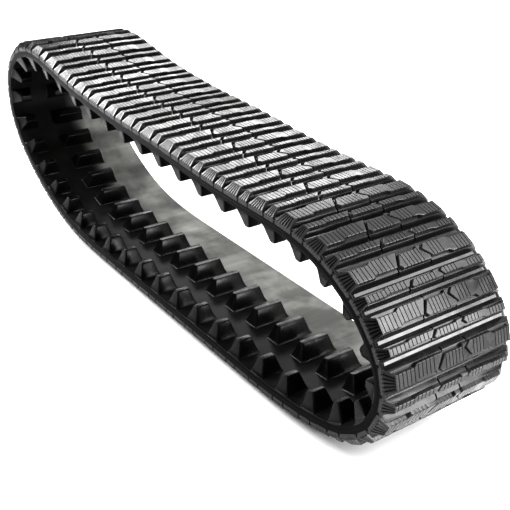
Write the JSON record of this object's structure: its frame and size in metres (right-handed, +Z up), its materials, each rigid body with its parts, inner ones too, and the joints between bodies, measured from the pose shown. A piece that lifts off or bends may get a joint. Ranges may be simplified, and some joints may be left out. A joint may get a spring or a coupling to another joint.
{
  "type": "rubber track",
  "caption": "Endless all-rubber loader track standing free, with stepped tread bars outside, drive lugs inside and a flexing belt.",
  "frame": {"origin": "centre of the loop in plan, on the floor under it", "axes": "+X along the loop towards its lower, near end; +Y across the belt towards the side without edge lugs; +Z up"},
  "size_m": [1.9926, 0.381, 0.6076],
  "materials": {
    "carcass_rubber": "satin black rubber, scuffed on the running surface",
    "cord_ply": "rubberised cord ply",
    "lug_rubber": "satin black moulded rubber",
    "tread_rubber": "moulded tread rubber with fine ribs"
  },
  "bodies": {
    "floor_run": {"belt_bottom_front": "carcass_rubber", "cord_ply_bottom_front": "cord_ply", "edge_lugs_bottom_front": "lug_rubber", "centre_lugs_bottom_front": "lug_rubber", "wide_bars_bottom_front": "tread_rubber", "narrow_bars_bottom_front": "tread_rubber", "belt_bottom_rear": "carcass_rubber", "cord_ply_bottom_rear": "cord_ply", "edge_lugs_bottom_rear": "lug_rubber", "centre_lugs_bottom_rear": "lug_rubber", "wide_bars_bottom_rear": "tread_rubber", "narrow_bars_bottom_rear": "tread_rubber"},
    "rear_wrap_lower": {"belt_rear_wrap_lower": "carcass_rubber", "cord_ply_rear_wrap_lower": "cord_ply", "edge_lugs_rear_wrap_lower": "lug_rubber", "centre_lugs_rear_wrap_lower": "lug_rubber", "wide_bars_rear_wrap_lower": "tread_rubber", "narrow_bars_rear_wrap_lower": "tread_rubber"},
    "rear_wrap_nose": {"belt_rear_wrap_nose": "carcass_rubber", "cord_ply_rear_wrap_nose": "cord_ply", "edge_lugs_rear_wrap_nose": "lug_rubber", "centre_lugs_rear_wrap_nose": "lug_rubber", "wide_bars_rear_wrap_nose": "tread_rubber", "narrow_bars_rear_wrap_nose": "tread_rubber"},
    "rear_wrap_upper": {"belt_rear_wrap_upper": "carcass_rubber", "cord_ply_rear_wrap_upper": "cord_ply", "edge_lugs_rear_wrap_upper": "lug_rubber", "centre_lugs_rear_wrap_upper": "lug_rubber", "wide_bars_rear_wrap_upper": "tread_rubber", "narrow_bars_rear_wrap_upper": "tread_rubber"},
    "top_rear": {"belt_top_rear": "carcass_rubber", "cord_ply_top_rear": "cord_ply", "edge_lugs_top_rear": "lug_rubber", "centre_lugs_top_rear": "lug_rubber", "wide_bars_top_rear": "tread_rubber", "narrow_bars_top_rear": "tread_rubber"},
    "top_front": {"belt_top_front": "carcass_rubber", "cord_ply_top_front": "cord_ply", "edge_lugs_top_front": "lug_rubber", "centre_lugs_top_front": "lug_rubber", "wide_bars_top_front": "tread_rubber", "narrow_bars_top_front": "tread_rubber"},
    "front_wrap_upper": {"belt_front_wrap_upper": "carcass_rubber", "cord_ply_front_wrap_upper": "cord_ply", "edge_lugs_front_wrap_upper": "lug_rubber", "centre_lugs_front_wrap_upper": "lug_rubber", "wide_bars_front_wrap_upper": "tread_rubber", "narrow_bars_front_wrap_upper": "tread_rubber"},
    "front_wrap_nose": {"belt_front_wrap_nose": "carcass_rubber", "cord_ply_front_wrap_nose": "cord_ply", "edge_lugs_front_wrap_nose": "lug_rubber", "centre_lugs_front_wrap_nose": "lug_rubber", "wide_bars_front_wrap_nose": "tread_rubber", "narrow_bars_front_wrap_nose": "tread_rubber"},
    "front_wrap_lower": {"belt_front_wrap_lower": "carcass_rubber", "cord_ply_front_wrap_lower": "cord_ply", "edge_lugs_front_wrap_lower": "lug_rubber", "centre_lugs_front_wrap_lower": "lug_rubber", "wide_bars_front_wrap_lower": "tread_rubber", "narrow_bars_front_wrap_lower": "tread_rubber"}
  },
  "joints": [
    {"name": "rear_wrap_lower_flex", "type": "hinge", "parent": "floor_run", "child": "rear_wrap_lower", "pos_m": [-0.40822, 0, 0.04566], "axis": [0, -1, 0], "range_deg": [-2.83, 7.09], "stiffness_Nm_per_rad": 4000, "springref_deg": -3.2},
    {"name": "front_wrap_lower_flex", "type": "hinge", "parent": "floor_run", "child": "front_wrap_lower", "pos_m": [0.60765, 0, 0.04655], "axis": [0, -1, 0], "range_deg": [-0.74, 0.3]},
    {"name": "front_wrap_nose_flex", "type": "hinge", "parent": "front_wrap_lower", "child": "front_wrap_nose", "pos_m": [0.8975, 0, 0.12353], "axis": [0, -1, 0], "range_deg": [-2.17, 5.42]},
    {"name": "front_wrap_upper_flex", "type": "hinge", "parent": "front_wrap_nose", "child": "front_wrap_upper", "pos_m": [0.87344, 0, 0.386], "axis": [0, -1, 0], "range_deg": [-0.43, 1.05]},
    {"name": "top_front_flex", "type": "hinge", "parent": "front_wrap_upper", "child": "top_front", "pos_m": [0.58978, 0, 0.47989], "axis": [0, -1, 0], "range_deg": [-1.54, 0.62]},
    {"name": "rear_wrap_nose_flex", "type": "hinge", "parent": "rear_wrap_lower", "child": "rear_wrap_nose", "pos_m": [-0.7921, 0, 0.1644], "axis": [0, -1, 0], "range_deg": [-3.17, 1.27]},
    {"name": "rear_wrap_upper_flex", "type": "hinge", "parent": "rear_wrap_nose", "child": "rear_wrap_upper", "pos_m": [-0.95191, 0, 0.4033], "axis": [0, -1, 0], "range_deg": [-4.52, 1.81]},
    {"name": "top_rear_flex", "type": "hinge", "parent": "rear_wrap_upper", "child": "top_rear", "pos_m": [-0.62543, 0, 0.55419], "axis": [0, -1, 0], "range_deg": [-1.03, 0.42]}
  ],
  "couplings": [
    {"joint": "front_wrap_lower_flex", "follows": "rear_wrap_lower_flex", "ratio": -0.10357},
    {"joint": "front_wrap_nose_flex", "follows": "rear_wrap_lower_flex", "ratio": 0.76224},
    {"joint": "front_wrap_upper_flex", "follows": "rear_wrap_lower_flex", "ratio": 0.14717},
    {"joint": "top_front_flex", "follows": "rear_wrap_lower_flex", "ratio": -0.21504},
    {"joint": "rear_wrap_nose_flex", "follows": "rear_wrap_lower_flex", "ratio": -0.44476},
    {"joint": "rear_wrap_upper_flex", "follows": "rear_wrap_lower_flex", "ratio": -0.63497},
    {"joint": "top_rear_flex", "follows": "rear_wrap_lower_flex", "ratio": -0.14407}
  ]
}
